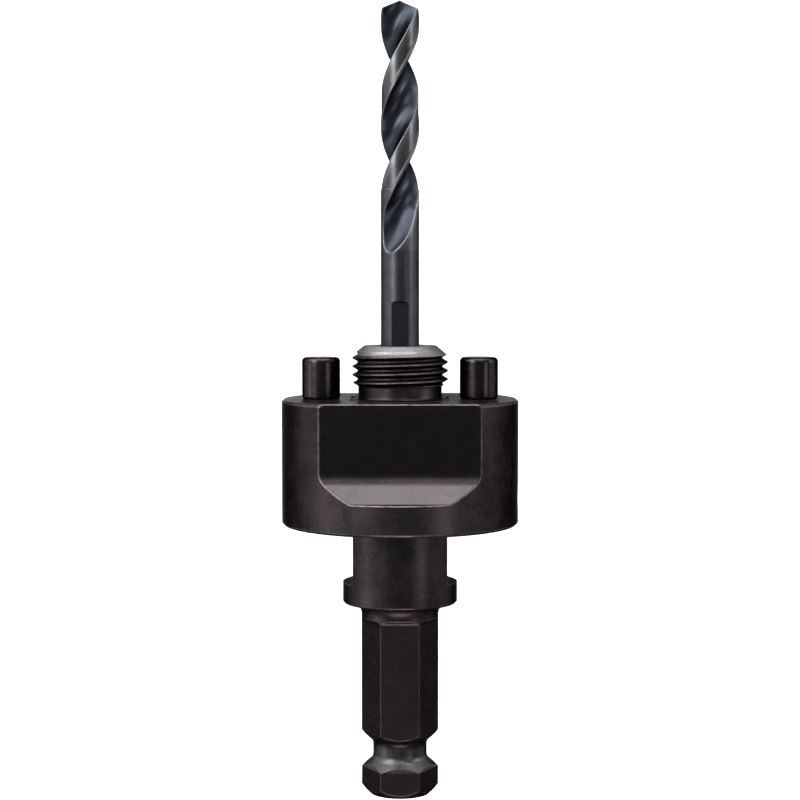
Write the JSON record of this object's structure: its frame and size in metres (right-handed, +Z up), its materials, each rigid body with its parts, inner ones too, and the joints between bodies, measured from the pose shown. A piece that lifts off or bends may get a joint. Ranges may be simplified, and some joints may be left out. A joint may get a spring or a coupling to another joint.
{
  "type": "hole saw arbor",
  "caption": "Hole saw arbor with hex quick-change shank, threaded nose, sliding drive plate with drive pins and a fluted pilot drill, lying on its side.",
  "frame": {"origin": "where the arbor's axis crosses the shoulder that the saw's back rests on, the centre of the drive pins' circle", "axes": "+Z up from the bench that it lies on, +Y along it towards the drill's tip, +X to its right seen from above; the axis dips 12.5 degrees below +Y"},
  "size_m": [0.0392, 0.1298, 0.0394],
  "materials": {
    "black_oxide_steel": "black oxide, oiled, cloudy purple and brown tints",
    "oxidised_drill_steel": "steam oxide, blue-grey, ground",
    "bright_steel": "plain bright steel"
  },
  "bodies": {
    "arbor": {"arbor_shaft": "black_oxide_steel", "pilot_drill": "oxidised_drill_steel", "pilot_set_screw": "black_oxide_steel"},
    "plate": {"drive_plate": "black_oxide_steel", "drive_pin_left": "black_oxide_steel", "drive_pin_right": "black_oxide_steel", "plunger_ball": "bright_steel", "plunger_spring": "bright_steel", "plunger_plug": "black_oxide_steel"}
  },
  "joints": [
    {"name": "plate_slide", "type": "slide", "parent": "arbor", "child": "plate", "axis": [0, -0.9764, 0.2162], "range_m": [0, 0.00955]}
  ]
}
